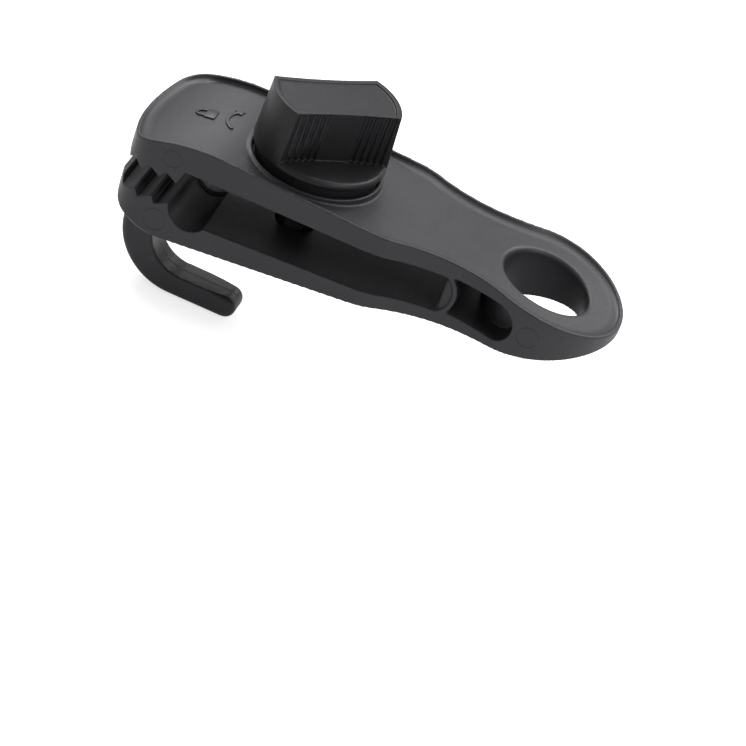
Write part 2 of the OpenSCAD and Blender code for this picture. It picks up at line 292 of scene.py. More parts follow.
def plan_line(inset):
    """Half of the outline from the middle of the front round to the tail, then the other half mirrored."""
    front_x = FRONT_X + FRONT_R
    bow = math.degrees(math.asin((HALF_W - CORNER_R) / (FRONT_R - CORNER_R)))
    corner_x = front_x - (FRONT_R - CORNER_R) * math.cos(math.radians(bow))
    run = RING_X - NECK_X
    neck_r = (run**2 + NECK_HALF_W**2 - RING_R**2) / (2 * (RING_R - NECK_HALF_W))
    neck_y = NECK_HALF_W + neck_r
    rise = neck_y - (HALF_W - SHOULDER_R)
    shoulder_run = math.sqrt((neck_r + SHOULDER_R) ** 2 - rise**2)
    shoulder_x = NECK_X - shoulder_run
    to_neck = math.degrees(math.atan2(rise, shoulder_run))
    to_ring = math.degrees(math.atan2(neck_y, -run))
    half = arc(front_x, 0, FRONT_R - inset, 180, 180 - bow)
    half += arc(corner_x, HALF_W - CORNER_R, CORNER_R - inset, 180 - bow, 90)[1:]
    half += arc(shoulder_x, HALF_W - SHOULDER_R, SHOULDER_R - inset, 90, to_neck)
    half += arc(NECK_X, neck_y, neck_r + inset, to_neck - 180, to_ring - 180)[1:]
    half += arc(RING_X, 0, RING_R - inset, to_ring, 0, 2 * ARC_STEPS)[1:]
    return half + [(x, -y) for x, y in half[-2:0:-1]]


print("Points of the outline from above:", len(plan_line(0)))

# %% [markdown]
# ## The block of the moulding
#
# The moulding is sawn out of two shapes, as one would cut it from a block on a bandsaw: the side shape
# gives the slopes, the shape from above gives the round outline, and the Boolean keeps what both share.
# The nose under the teeth is blunt in the middle and rounder towards both sides, so the side shape is a
# loft across the clip. The dish in the top is cut away with another: rings of the same outline, set in
# a little more with each step down, give it a hollow wall that runs out into the floor. A narrow rim
# is left all round.

# %% Block and dish
NOSE_Y, NOSE_STEPS = 11.0, 5
RIM_W, DISH_DEPTH, COVE_W, COVE_STEPS = 0.8, 1.2, 2.9, 8
WIDE = 25.0
HIGH = 40.0
OVERCUT = 0.03

slices = []
for step in range(NOSE_STEPS + 1):
    turn = math.radians(90 * step / NOSE_STEPS)
    y = NOSE_Y + (HALF_W - NOSE_Y) * math.sin(turn)
    slices.append((y, NOSE_R + (SIDE_NOSE_R - NOSE_R) * (1 - math.cos(turn))))
slices.append((WIDE, SIDE_NOSE_R))
slices = [(-y, radius) for y, radius in reversed(slices)] + slices
body = loft("body", [[(x, y, z) for x, z in top_line(0) + bottom_line(radius)] for y, radius in slices])
combine(body, extrude(flat_shape("plan", plan_line(0), UP_AXIS), -HIGH, HIGH, UP_AXIS), "INTERSECT")

above_dish = top_line(DISH_DEPTH) + [(TAIL_X + PAST, HIGH), (FRONT_X - PAST, HIGH)]
dish = extrude(flat_shape("dish", above_dish, SIDE_AXIS), -WIDE, WIDE, SIDE_AXIS)
cove_rings = [[(x, y, HIGH / 2) for x, y in plan_line(RIM_W)]]
for step in range(COVE_STEPS + 1):
    turn = math.radians(90 * step / COVE_STEPS)
    ring = plan_line(RIM_W + COVE_W * (1 - math.cos(turn)))
    cove_rings.append([(x, y, floor_z(x, (DISH_DEPTH + OVERCUT) * math.sin(turn))) for x, y in ring])
cove_rings.append([(x, y, -HIGH) for x, y in ring])
combine(dish, loft("cove", cove_rings), "INTERSECT")
combine(body, dish, "DIFFERENCE")
print("Block with its dish:", len(body.data.polygons), "faces")

# %% [markdown]
# ## The gap, teeth and seat
#
# A core slides in from the side of the mould and leaves the gap between the jaws. Its front has the
# teeth: three saw teeth on each jaw, with their tips opposite each other. Behind them a round seat
# takes a rod or a rolled hem. Its two cores widen outwards, so that they come free, and meet in a small
# step in the middle. At the rear the gap ends in a web that is scooped out at both sides.

# %% Gap between the jaws
GAP_TOP, GAP_LOW, GAP_SLOPE = -6.4, -17.0, 0.048
TIP_Z, CREST_Z = -10.0, -15.0
TOOTH_PITCH, TOOTH_H, TOOTH_N = 4.0, 1.7, 3
TOOTH_BACK, CREST_BACK = 1.3, 0.85
LAST_TIP_X, CREST_LAG = -24.4, 0.3
SEAT_X, SEAT_Z, SEAT_R = -19.7, -15.0, 4.5
SEAT_DRAFT, SEAT_STEP, SEAT_LAP = 0.55, 0.6, 0.2
WEB_X, WEB_BULGE, WEB_T = 37.2, 2.3, 1.1
SCOOP_Y, SCOOP_SLANT = 13.9, 0.6


def gap_floor(x):
    return GAP_LOW + GAP_SLOPE * x


WEB_MID = (GAP_TOP + gap_floor(WEB_X)) / 2
WEB_HALF = (GAP_TOP - gap_floor(WEB_X)) / 2
WEB_R = (WEB_HALF**2 + WEB_BULGE**2) / (2 * WEB_BULGE)
WEB_CX = WEB_X + WEB_BULGE - WEB_R


def web_line(back, top, low):
    """The curved web between two heights, moved back by a thickness."""
    radius = WEB_R + back
    start = math.degrees(math.asin((top - WEB_MID) / radius))
    end = math.degrees(math.asin((low - WEB_MID) / radius))
    return arc(WEB_CX, WEB_MID, radius, start, end)


def gap_line():
    tips = [LAST_TIP_X - i * TOOTH_PITCH for i in range(TOOTH_N, -1, -1)]
    upper = [(tip + k * TOOTH_BACK, TIP_Z + k * TOOTH_H) for tip in tips for k in (0, 1)]
    crests = [tip - CREST_LAG for tip in reversed(tips)]
    lower = [(crest + k * CREST_BACK, CREST_Z - k * TOOTH_H) for crest in crests for k in (1, 0)]
    roof_x = LAST_TIP_X + TOOTH_BACK
    floor_x = SEAT_X + SEAT_R - SEAT_LAP
    line = [(FRONT_X - PAST, TIP_Z + TOOTH_H)] + upper[:-1] + [(roof_x, GAP_TOP)]
    line += [(WEB_X, GAP_TOP), (WEB_X, gap_floor(WEB_X))]
    line += [(floor_x, gap_floor(floor_x)), (SEAT_X, gap_floor(SEAT_X)), (SEAT_X, SEAT_Z)]
    return line + lower[1:] + [(FRONT_X - PAST, CREST_Z - TOOTH_H)]


combine(body, extrude(flat_shape("gap", gap_line(), SIDE_AXIS), -WIDE, WIDE, SIDE_AXIS), "DIFFERENCE")
print("Body with gap and teeth:", len(body.data.polygons), "faces")

# %% Seat and scoops, from both sides
SEAT_SIDES = 96
scoop_line = web_line(0, GAP_TOP, gap_floor(WEB_X))
for side in (-1, 1):
    inner_r = SEAT_R - (SEAT_STEP if side > 0 else 0)
    inner_ring = full_ring(SEAT_X, SEAT_Z, inner_r, SEAT_SIDES)
    open_ring = full_ring(SEAT_X, SEAT_Z, SEAT_R + SEAT_DRAFT, SEAT_SIDES)
    seat_rings = [[(x, -side * OVERCUT, z) for x, z in inner_ring]]
    seat_rings.append([(x, side * WIDE, z) for x, z in open_ring])
    combine(body, loft("seat", seat_rings), "DIFFERENCE")
    flat_end = [(WEB_X - OVERCUT, z) for x, z in scoop_line]
    whole_line = scoop_line + flat_end[::-1]
    ends = [[(x, side * y, z) for x, z in whole_line] for y in (WIDE, SCOOP_Y)]
    deep_line = [(WEB_X - OVERCUT * 2, z) for x, z in scoop_line]
    deep_line += [(x - OVERCUT * 2, z) for x, z in flat_end[::-1]]
    ends.append([(x, side * (SCOOP_Y - SCOOP_SLANT), z) for x, z in deep_line])
    combine(body, loft("scoop", ends), "DIFFERENCE")
print("Body with gap, seat and scoops:", len(body.data.polygons), "faces")

# %% [markdown]
# ## Eye, side pockets and collar
#
# The rope eye is a round core through the tail, with a soft round edge on top so that it doesn't chafe
# the rope. Behind the web both sides have a pocket that saves plastic; a wall round the eye closes it,
# so the pocket is cut with a tool that leaves that wall. The collar round the knob is a short tube.

# %% Eye, pockets, collar and screw hole
EYE_WALL, EYE_EDGE, EDGE_STEPS, EYE_SIDES = 2.2, 1.3, 8, 128
POCKET_TOP, POCKET_LOW, POCKET_X = -5.9, -14.6, 50.0
COLLAR_R, COLLAR_T, COLLAR_TOP = 15.2, 0.8, -0.9
SCREW_HOLE_R = 4.25

pocket_r = (POCKET_TOP - POCKET_LOW) / 2
pocket_line = arc(POCKET_X, POCKET_LOW + pocket_r, pocket_r, -90, 90)
pocket_line += web_line(WEB_T, POCKET_TOP, POCKET_LOW)
pocket = extrude(flat_shape("pocket", pocket_line, SIDE_AXIS), -WIDE, WIDE, SIDE_AXIS)
combine(pocket, round_bar("eye_wall", EYE_R + EYE_WALL, -HIGH, HIGH, EYE_X), "DIFFERENCE")
combine(body, pocket, "DIFFERENCE")

eye_rings = []
for step in range(1, EDGE_STEPS + 1):
    turn = math.radians(90 * step / EDGE_STEPS)
    ring = full_ring(EYE_X, 0, EYE_R + EYE_EDGE * (1 - math.sin(turn)), EYE_SIDES)
    depth = DISH_DEPTH + EYE_EDGE * (1 - math.cos(turn))
    eye_rings.append([(x, y, floor_z(x, depth)) for x, y in ring])
eye_rings.insert(0, [(x, y, HIGH) for x, y, z in eye_rings[0]])
eye_rings.append([(x, y, -HIGH) for x, y, z in eye_rings[-1]])
combine(body, loft("eye", eye_rings), "DIFFERENCE")

combine(body, round_bar("collar", COLLAR_R, GAP_TOP + PAST, COLLAR_TOP), "UNION")
combine(body, round_bar("collar_well", COLLAR_R - COLLAR_T, COLLAR_FLOOR, HIGH), "DIFFERENCE")
combine(body, round_bar("screw_hole", SCREW_HOLE_R, GAP_TOP - PAST, HIGH), "DIFFERENCE")
print("Body with eye, pockets and collar:", len(body.data.polygons), "faces")

# %% [markdown]
# ## Nut boss and hook
#
# A round boss under the lower jaw holds the nut in a six-sided pocket. The hook is a flat bar that
# bends back under the jaw: its outline is extruded to its width, then the outer edges get a large
# bevel and the inner edges a small one, so that it is flat inside and round outside, as moulded.

# %% Hook with its two kinds of edge
HOOK_W = 7.6
HOOK_ROOT_X, HOOK_LOW, HOOK_TIP_X = -36.4, -46.0, -5.8
HOOK_IN_R, HOOK_OUT_R, HOOK_TIP_T = 9.0, 15.0, 5.3
HOOK_IN_X, HOOK_SINK = -19.7, 4.0
HOOK_ROOT_Z = bottom_z(HOOK_ROOT_X) + HOOK_SINK
OUTER_EDGE, INNER_EDGE = 1.9, 0.5
LEVEL_PLAY, PLACE_DIGITS = 0.01, 3


def hook_outer():
    tip_r = HOOK_TIP_T / 2
    line = [(HOOK_ROOT_X, HOOK_ROOT_Z)]
    line += arc(HOOK_ROOT_X + HOOK_OUT_R, HOOK_LOW + HOOK_OUT_R, HOOK_OUT_R, 180, 270)
    return line + arc(HOOK_TIP_X - tip_r, HOOK_LOW + tip_r, tip_r, -90, 90, 12)


def hook_inner():
    line = arc(HOOK_IN_X, HOOK_LOW + HOOK_TIP_T + HOOK_IN_R, HOOK_IN_R, 270, 180)
    return line + [(HOOK_IN_X - HOOK_IN_R, HOOK_ROOT_Z)]


def bevel_line(obj, line, offset, segments):
    """Bevel the edges on both faces of an extruded shape that follow a part of its outline."""
    pick(obj)
    places = {(round(x, PLACE_DIGITS), round(z, PLACE_DIGITS)) for x, z in line}
    ends = [(round(v.co.x, PLACE_DIGITS), round(v.co.z, PLACE_DIGITS)) for v in obj.data.vertices]
    corners = [end in places for end in ends]
    bpy.ops.object.mode_set(mode="EDIT")
    bpy.ops.mesh.select_mode(type="EDGE")
    bpy.ops.mesh.select_all(action="DESELECT")
    bpy.ops.object.mode_set(mode="OBJECT")
    for edge in obj.data.edges:
        a, b = edge.vertices
        level = abs(obj.data.vertices[a].co.y - obj.data.vertices[b].co.y) < LEVEL_PLAY
        edge.select = level and corners[a] and corners[b]
    bpy.ops.object.mode_set(mode="EDIT")
    bpy.ops.mesh.bevel(offset=offset, segments=segments, profile=0.5, affect="EDGES", clamp_overlap=True)
    bpy.ops.object.mode_set(mode="OBJECT")


hook = flat_shape("hook", hook_outer() + hook_inner(), SIDE_AXIS)
extrude(hook, -HOOK_W / 2, HOOK_W / 2, SIDE_AXIS)
bevel_line(hook, hook_outer(), OUTER_EDGE, segments=6)
bevel_line(hook, hook_inner(), INNER_EDGE, segments=3)
print("Hook:", len(hook.data.polygons), "faces")

# %% Boss and nut pocket
NUT_ROOF, BOSS_LOW = -19.1, -24.3
NUT_FLATS, NUT_PLAY, BOSS_WALL, JAW_HOLE_R = 13.0, 0.7, 1.6, 4.6
HEX_TURN = math.radians(30)

nut_pocket_r = (NUT_FLATS / 2 + NUT_PLAY) / math.cos(HEX_TURN)
combine(body, round_bar("boss", nut_pocket_r + BOSS_WALL, BOSS_LOW, NUT_ROOF + PAST), "UNION")
combine(body, hook, "UNION")
combine(body, round_bar("jaw_hole", JAW_HOLE_R, BOSS_LOW - PAST, GAP_LOW + PAST), "DIFFERENCE")
nut_pocket = round_bar("nut_pocket", nut_pocket_r, BOSS_LOW - PAST, NUT_ROOF, sides=6)
nut_pocket.rotation_euler.z = HEX_TURN
combine(body, nut_pocket, "DIFFERENCE")
print("Whole moulding:", len(body.data.polygons), "faces")

# %% [markdown]
# ## Soft edges
#
# Molten plastic never fills a knife edge, so every edge of a moulding is slightly round. A bevel
# would fail on the many short edges that the Booleans left. A voxel remesh gives the moulding an even
# skin of small quads, and a few rounds of smoothing then round every edge and corner alike.
# Decimate takes out the faces that flat parts don't need, and weighted normals let the large flat
# faces keep their direction next to the round edges.

# %% Even skin, smoothed
BODY_SKIN, BODY_ROUNDS, BODY_FACES = 0.2, 6, 300000


def soften(obj, voxel, rounds, most):
    apply_modifier(obj, "Even skin", "REMESH", mode="VOXEL", voxel_size=voxel, use_smooth_shade=True)
    apply_modifier(obj, "Round edges", "SMOOTH", factor=0.5, iterations=rounds)
    full = len(obj.data.polygons)
    if 2 * full > most:
        apply_modifier(obj, "Fewer faces", "DECIMATE", ratio=most / (2 * full))
    apply_modifier(obj, "Flat faces lead", "WEIGHTED_NORMAL", mode="FACE_AREA", weight=50)
    print(obj.name, "skin:", full, "quads, then", len(obj.data.polygons), "faces")


soften(body, BODY_SKIN, BODY_ROUNDS, BODY_FACES)

# %% [markdown]
# ## Two jaws from one moulding
#
# The real moulding is one piece that bends where the lower jaw leaves the web. Here the skin is cut across
# the thin root and the two halves get caps.
# The cut faces meet exactly. Both halves then take the normals of the whole moulding, so that light
# runs over the joint without a line.

# %% Cut the root and cap it
ROOT_X = 36.0
ROOT_MID_Z = -11.0


def in_lower_jaw(point):
    """True below a line through the gap, from the mouth to the root."""
    share = (point.x - FRONT_X) / (ROOT_X - FRONT_X)
    return point.x < ROOT_X and point.z < MOUTH_Z + (ROOT_MID_Z - MOUTH_Z) * share


def keep_half(obj, lower, whole):
    """Delete the other half's faces, cap the open root and take the normals of the whole moulding."""
    pick(obj)
    for face in obj.data.polygons:
        face.select = in_lower_jaw(face.center) != lower
    bpy.ops.object.mode_set(mode="EDIT")
    bpy.ops.mesh.select_mode(type="FACE")
    bpy.ops.mesh.delete(type="FACE")
    bpy.ops.mesh.select_mode(type="EDGE")
    bpy.ops.mesh.select_all(action="DESELECT")
    bpy.ops.mesh.select_non_manifold(
        extend=False, use_wire=False, use_boundary=True,
        use_multi_face=False, use_non_contiguous=False, use_verts=False,
    )
    bpy.ops.mesh.edge_face_add()
    bpy.ops.mesh.faces_shade_flat()
    bpy.ops.object.mode_set(mode="OBJECT")
    apply_modifier(
        obj, "Normals of the whole", "DATA_TRANSFER", object=whole, use_loop_data=True,
        data_types_loops={"CUSTOM_NORMAL"}, loop_mapping="POLYINTERP_NEAREST"
    )
    print(obj.name, len(obj.data.polygons), "faces after the cut")


pick(body)
bpy.ops.object.duplicate()
whole = bpy.context.object
pick(body)
bpy.ops.object.mode_set(mode="EDIT")
bpy.ops.mesh.select_mode(type="FACE")
bpy.ops.mesh.select_all(action="SELECT")
bpy.ops.mesh.bisect(plane_co=(ROOT_X, 0, 0), plane_no=(1, 0, 0))
bpy.ops.object.mode_set(mode="OBJECT")
pick(body)
bpy.ops.object.duplicate()
lower_skin = bpy.context.object
upper_skin = body
upper_skin.name, lower_skin.name = "upper_jaw_skin", "lower_jaw_skin"
keep_half(lower_skin, True, whole)
keep_half(upper_skin, False, whole)
bpy.data.objects.remove(whole)

# %% [markdown]
# ## The knob
#
# The knob has a round flange that turns in the collar and a grip with hollow sides. The flange is
# turned like a lathe part: half of its section is spun round the screw axis. The grip is a slightly
# tapered cone, cut to a shape with hollow sides. The sides are a loft, because they are hollowed more at
# the foot than at the top. Upright grooves in the outline leave its ribs, which stop just under a narrow
# band at the top. A sunk panel leaves a thin rim round the top. A bore and a six-sided pocket inside
# take the screw and its head.

# %% Flange on the lathe
PLUG_R, PLUG_LOW = 13.8, -1.8
FLANGE_R, FLANGE_LOW, FLANGE_TOP = 15.0, 0.9, 2.9
LATHE_STEPS = 128


def spin_profile(name, points):
    """Turn an outline, drawn from the side, once round the screw axis."""
    shape = flat_shape(name, points, SIDE_AXIS)
    pick(shape)
    bpy.ops.object.mode_set(mode="EDIT")
    bpy.ops.mesh.select_all(action="SELECT")
    bpy.ops.mesh.delete(type="ONLY_FACE")
    bpy.ops.mesh.select_all(action="SELECT")
    bpy.ops.mesh.spin(steps=LATHE_STEPS, angle=2 * math.pi, center=(0, 0, 0), axis=(0, 0, 1))
    bpy.ops.mesh.select_all(action="SELECT")
    bpy.ops.mesh.remove_doubles(threshold=0.001)
    bpy.ops.mesh.normals_make_consistent(inside=False)
    bpy.ops.object.mode_set(mode="OBJECT")
    return shape


flange_edge = (FLANGE_TOP - FLANGE_LOW) / 2
flange_line = [(0, PLUG_LOW), (PLUG_R, PLUG_LOW), (PLUG_R, FLANGE_LOW)]
flange_line += arc(FLANGE_R - flange_edge, FLANGE_LOW + flange_edge, flange_edge, -90, 90, 12)
flange_line += [(0, FLANGE_TOP)]
knob = spin_profile("knob_skin", flange_line)
print("Flange:", len(knob.data.polygons), "faces")

# %% Grip with ribs and panel
GRIP_TOP, GRIP_R, GRIP_T, GRIP_TURN = 15.5, 14.4, 15.0, 40.0
TOP_HOLLOW, FOOT_HOLLOW = 0.8, 1.6
GROOVE_N, GROOVE_PITCH, GROOVE_R, GROOVE_STEPS = 5, 1.6, 0.58, 10
GROOVE_GAP, GROOVE_CLEAR, TOP_BAND = 1.2, 0.1, 0.35
PANEL_RIM, PANEL_DEPTH = 1.2, 0.35


def hollow_y(x, inset, hollow):
    """Half of the grip's thickness at a place along its hollow side."""
    radius = (GRIP_R**2 + hollow**2) / (2 * hollow)
    return GRIP_T / 2 - hollow + radius - math.sqrt((radius + inset) ** 2 - x**2)


def groove_places():
    last = math.sqrt(GRIP_R**2 - (GRIP_T / 2) ** 2) - GROOVE_GAP
    right = [last - i * GROOVE_PITCH for i in range(GROOVE_N)]
    return sorted([-x for x in right] + right)


def grip_side(inset, hollow, cuts):
    """One long side of the grip from left to right, with a groove at each cut."""
    reach = FLANGE_R + PAST
    places = [reach * (2 * i / ARC_STEPS - 1) for i in range(ARC_STEPS + 1)]
    clear = [x for x in places if all(abs(x - cut) > GROOVE_R + GROOVE_CLEAR for cut in cuts)]
    side = [(x, [(x, hollow_y(x, inset, hollow))]) for x in clear]
    side += [(x, arc(x, hollow_y(x, inset, hollow), GROOVE_R, 180, 360, GROOVE_STEPS)) for x in cuts]
    return [point for x, points in sorted(side) for point in points]


def grip_block(name, inset, cuts, ends):
    """The grip's two sides as a loft between heights that each have their own hollow."""
    rings = []
    for height, hollow in ends:
        side = grip_side(inset, hollow, cuts)
        rings.append([(x, y, height) for x, y in side] + [(-x, -y, height) for x, y in side])
    return loft(name, rings)


foot = FLANGE_LOW + flange_edge
clear_selection()
bpy.ops.mesh.primitive_cone_add(
    vertices=LATHE_STEPS, radius1=FLANGE_R, radius2=GRIP_R,
    depth=GRIP_TOP - foot, location=(0, 0, (GRIP_TOP + foot) / 2),
)
grip = bpy.context.object
band_low = GRIP_TOP - TOP_BAND
rib_ends = [(foot - PAST, FOOT_HOLLOW), (FLANGE_TOP, FOOT_HOLLOW), (band_low, TOP_HOLLOW)]
sides = grip_block("grip_sides", 0, groove_places(), rib_ends)
band_ends = [(band_low - OVERCUT, TOP_HOLLOW), (GRIP_TOP + PAST, TOP_HOLLOW)]
combine(sides, grip_block("top_band", 0, [], band_ends), "UNION")
combine(grip, sides, "INTERSECT")
panel = round_bar("panel", GRIP_R - PANEL_RIM, GRIP_TOP - PANEL_DEPTH, GRIP_TOP + PAST)
panel_ends = [(foot, TOP_HOLLOW), (GRIP_TOP + 2 * PAST, TOP_HOLLOW)]
combine(panel, grip_block("panel_sides", PANEL_RIM, [], panel_ends), "INTERSECT")
combine(grip, panel, "DIFFERENCE")
grip.rotation_euler.z = math.radians(GRIP_TURN)
combine(knob, grip, "UNION")

# %% Room for the screw, and soft edges
BORE_R, HEAD_FLATS, HEAD_LOW, HEAD_TOP = 4.05, 10.1, 3.9, 9.1
KNOB_SKIN, KNOB_ROUNDS, KNOB_FACES = 0.13, 3, 190000

combine(knob, round_bar("screw_bore", BORE_R, PLUG_LOW - PAST, HEAD_LOW + PAST), "DIFFERENCE")
head_r = HEAD_FLATS / 2 / math.cos(HEX_TURN)
head = round_bar("screw_head", head_r, HEAD_LOW, HEAD_TOP, sides=6)
head.rotation_euler.z = HEX_TURN
combine(knob, head, "DIFFERENCE")
soften(knob, KNOB_SKIN, KNOB_ROUNDS, KNOB_FACES)

# %% [markdown]
# ## Marks on the dish
#
# Beside the knob the dish carries raised marks that show which way the knob locks. They are a curved
# arrow and a small padlock, flat outlines of a few points, extruded and set down on the bent floor of
# the dish by moving each point to the floor's height.

# %% Arrow and padlock
MARK_H, MARK_SINK, MARK_EDGE, MARK_ANGLE = 0.35, 0.3, 0.12, 40.0


def set_on_dish(mark):
    """Let a flat mark follow the dish: its points keep their own height above the floor."""
    for corner in mark.data.vertices:
        corner.co.z += floor_z(corner.co.x, DISH_DEPTH)
    return mark


def raised_mark(name, points):
    mark = extrude(flat_shape(name, points, UP_AXIS), -MARK_SINK, MARK_H, UP_AXIS)
    apply_modifier(mark, "Soft rim", "BEVEL", width=MARK_EDGE, segments=2, limit_method="ANGLE")
    return set_on_dish(mark)


ARROW_X, ARROW_Y, ARROW_R, ARROW_W = -16.6, 1.8, 5.0, 0.8
ARROW_START, ARROW_END, BARB, BARB_TURN = 237.0, 142.0, 1.1, 22.0

arrow_line = arc(ARROW_X, ARROW_Y, ARROW_R + ARROW_W / 2, ARROW_START, ARROW_END)
for radius, back in ((ARROW_R + BARB, 0), (ARROW_R, BARB_TURN), (ARROW_R - BARB, 0)):
    arrow_line += arc(ARROW_X, ARROW_Y, radius, ARROW_END - back, ARROW_END - back, 1)[:1]
arrow_line += arc(ARROW_X, ARROW_Y, ARROW_R - ARROW_W / 2, ARROW_END, ARROW_START)
arrow = raised_mark("lock_arrow", arrow_line)

LOCK_X, LOCK_Y, LOCK_L, LOCK_HALF_W = -24.0, 0.8, 2.5, 1.9
SHACKLE_R, SHACKLE_T, SHACKLE_LEG, SHACKLE_SINK = 1.2, 0.6, 0.8, 0.1

lock_top = LOCK_X - LOCK_L
padlock_line = [(lock_top, LOCK_Y - LOCK_HALF_W), (LOCK_X, LOCK_Y - LOCK_HALF_W)]
padlock_line += [(LOCK_X, LOCK_Y + LOCK_HALF_W), (lock_top, LOCK_Y + LOCK_HALF_W)]
padlock = raised_mark("lock_plate", padlock_line)
foot_x, bow_x = lock_top + SHACKLE_SINK, lock_top - SHACKLE_LEG
outer_r, inner_r = SHACKLE_R + SHACKLE_T / 2, SHACKLE_R - SHACKLE_T / 2
shackle_line = [(foot_x, LOCK_Y + outer_r)] + arc(bow_x, LOCK_Y, outer_r, 90, 270)
shackle_line += [(foot_x, LOCK_Y - outer_r), (foot_x, LOCK_Y - inner_r)]
shackle_line += arc(bow_x, LOCK_Y, inner_r, 270, 90) + [(foot_x, LOCK_Y + inner_r)]
shackle = raised_mark("lock_shackle", shackle_line)
print("Raised marks:", arrow.name, padlock.name, shackle.name)

# %% [markdown]
# ## Into the frame
#
# The pieces are scaled to metres and moved to the frame, and both are applied to their meshes, so that
# every object sits at the origin as the CAD nodes do. The upper skin and the marks then ride on the CAD
# body, and the knob on its own body. The lower jaw's skin stays where it is, baked into the frame.


def into_frame(obj):
    pick(obj)
    obj.scale = (MM, MM, MM)
    obj.location = screw_place
    bpy.ops.object.transform_apply(location=True, rotation=True, scale=True)


def shade_by_angle(obj, degrees):
    pick(obj)
    bpy.ops.object.shade_smooth_by_angle(angle=math.radians(degrees))


marks = [arrow, padlock, shackle]
for piece in [upper_skin, lower_skin, knob] + marks:
    into_frame(piece)
for mark in marks:
    shade_by_angle(mark, MARK_ANGLE)
    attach(mark, "body")
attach(upper_skin, "body")
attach(knob, "knob")
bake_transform(lower_skin)
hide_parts("upper_jaw")
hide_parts("lower_jaw")
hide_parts("clamp_knob")
print("Pieces in the frame:", upper_skin.name, lower_skin.name, knob.name, "and", len(marks), "marks")

# %% [markdown]
# ## Finishes
#
# The clip is moulded in black plastic. Its mould was spark eroded, which leaves a fine grain, and the
# plastic shows slightly uneven gloss where it flowed. Noise on Object coordinates gives both. Handling
# greys the edges a little. Round ejector pins left circles on the body's side faces, and the halves of
# the mould left a fine line along the middle of the hook. Both are drawn into the bump, from the
# distance of a point to the middle of the circle or of the clip.

# %% Node helpers
def new_material(name):
    material = bpy.data.materials.new(name)
    material.use_nodes = True
    tree = material.node_tree
    shader = tree.nodes["Principled BSDF"]
    return material, tree, shader


def node(tree, kind, **inputs):
    made = tree.nodes.new(kind)
    for socket, value in inputs.items():
        made.inputs[socket.replace("_", " ")].default_value = value
    return made


def math_node(tree, operation, first, second=0.0, clamp=False):
    made = tree.nodes.new("ShaderNodeMath")
    made.operation = operation
    made.use_clamp = clamp
    for socket, value in zip(made.inputs, (first, second)):
        if isinstance(value, (int, float)):
            socket.default_value = value
        else:
            tree.links.new(value, socket)
    return made.outputs[0]


def noise(tree, coordinates, scale, detail):
    made = node(tree, "ShaderNodeTexNoise", Scale=scale, Detail=detail, Roughness=0.55)
    tree.links.new(coordinates, made.inputs["Vector"])
    return made.outputs["Fac"]


def ramp(tree, value, low, high, out_low, out_high):
    made = tree.nodes.new("ShaderNodeMapRange")
    tree.links.new(value, made.inputs["Value"])
    for socket, number in zip(("From Min", "From Max", "To Min", "To Max"), (low, high, out_low, out_high)):
        made.inputs[socket].default_value = number
    return made.outputs["Result"]


def vector_node(tree, operation, first, second):
    made = tree.nodes.new("ShaderNodeVectorMath")
    made.operation = operation
    tree.links.new(first, made.inputs[0])
    made.inputs[1].default_value = second
    return made


# %% Marks that the mould left
PIN_MARKS = ((57.95, -9.89, 2.4), (-26.81, -4.54, 2.0), (-26.52, -20.24, 2.6))
PIN_LINE, PIN_SIDE_Y, PARTING_LINE, PARTING_Z, MARK_FADE = 0.16, 16.4, 0.16, -25.5, 0.3


def mould_lines(tree, place):
    """One on the circles of the ejector pins and on the parting line of the hook, zero elsewhere."""
    split = tree.nodes.new("ShaderNodeSeparateXYZ")
    tree.links.new(place, split.inputs[0])
    off_middle = math_node(tree, "ABSOLUTE", split.outputs["Y"])
    seen_from_side = vector_node(tree, "MULTIPLY", place, (1, 0, 1)).outputs[0]
    on_side = ramp(tree, off_middle, PIN_SIDE_Y * MM, (PIN_SIDE_Y + MARK_FADE) * MM, 0, 1)
    hook_top = in_frame(0, 0, PARTING_Z).z
    on_hook = ramp(tree, split.outputs["Z"], hook_top, hook_top + MARK_FADE * MM, 1, 0)
    lines = math_node(tree, "MULTIPLY", on_hook, ramp(tree, off_middle, 0, PARTING_LINE * MM, 1, 0))
    for x, z, radius in PIN_MARKS:
        distance = vector_node(tree, "DISTANCE", seen_from_side, in_frame(x, 0, z)).outputs["Value"]
        off_circle = math_node(tree, "ABSOLUTE", math_node(tree, "SUBTRACT", distance, radius * MM))
        circle = math_node(tree, "MULTIPLY", on_side, ramp(tree, off_circle, 0, PIN_LINE * MM, 1, 0))
        lines = math_node(tree, "ADD", lines, circle)
    return lines


# %% Black moulded plastic
# The first two numbers set the painted shade on the eye's wall: the share of its mirroring that stays, and
# the width over which it fades back.
EYE_SHADE_SHARE, EYE_SHADE_FADE = 0.3, 0.9
FLOW_SCALE, GRAIN_SCALE = 60, 2600
GRAIN_DEPTH, LINE_DEPTH, LINE_STRENGTH = 0.00003, 0.0002, 0.6
WEAR_START, WEAR_FULL = 0.54, 0.62
GLOSS_FLOW, GLOSS_GRAIN = 0.05, 0.07
COOL_TINT = (0.96, 0.95, 1.0, 1)


def eye_painted_shade(tree, place, mirror):
    """Painted shade: less mirroring on the wall of the eye, which darkens it as the shade inside the eye
    does.
    """
    from_above = vector_node(tree, "MULTIPLY", place, (1, 1, 0)).outputs[0]
    eye_axis = in_frame(EYE_X, 0, 0) * Vector((1, 1, 0))
    off_axis = vector_node(tree, "DISTANCE", from_above, eye_axis).outputs["Value"]
    return ramp(tree, off_axis, EYE_R * MM, (EYE_R + EYE_SHADE_FADE) * MM, mirror * EYE_SHADE_SHARE, mirror)


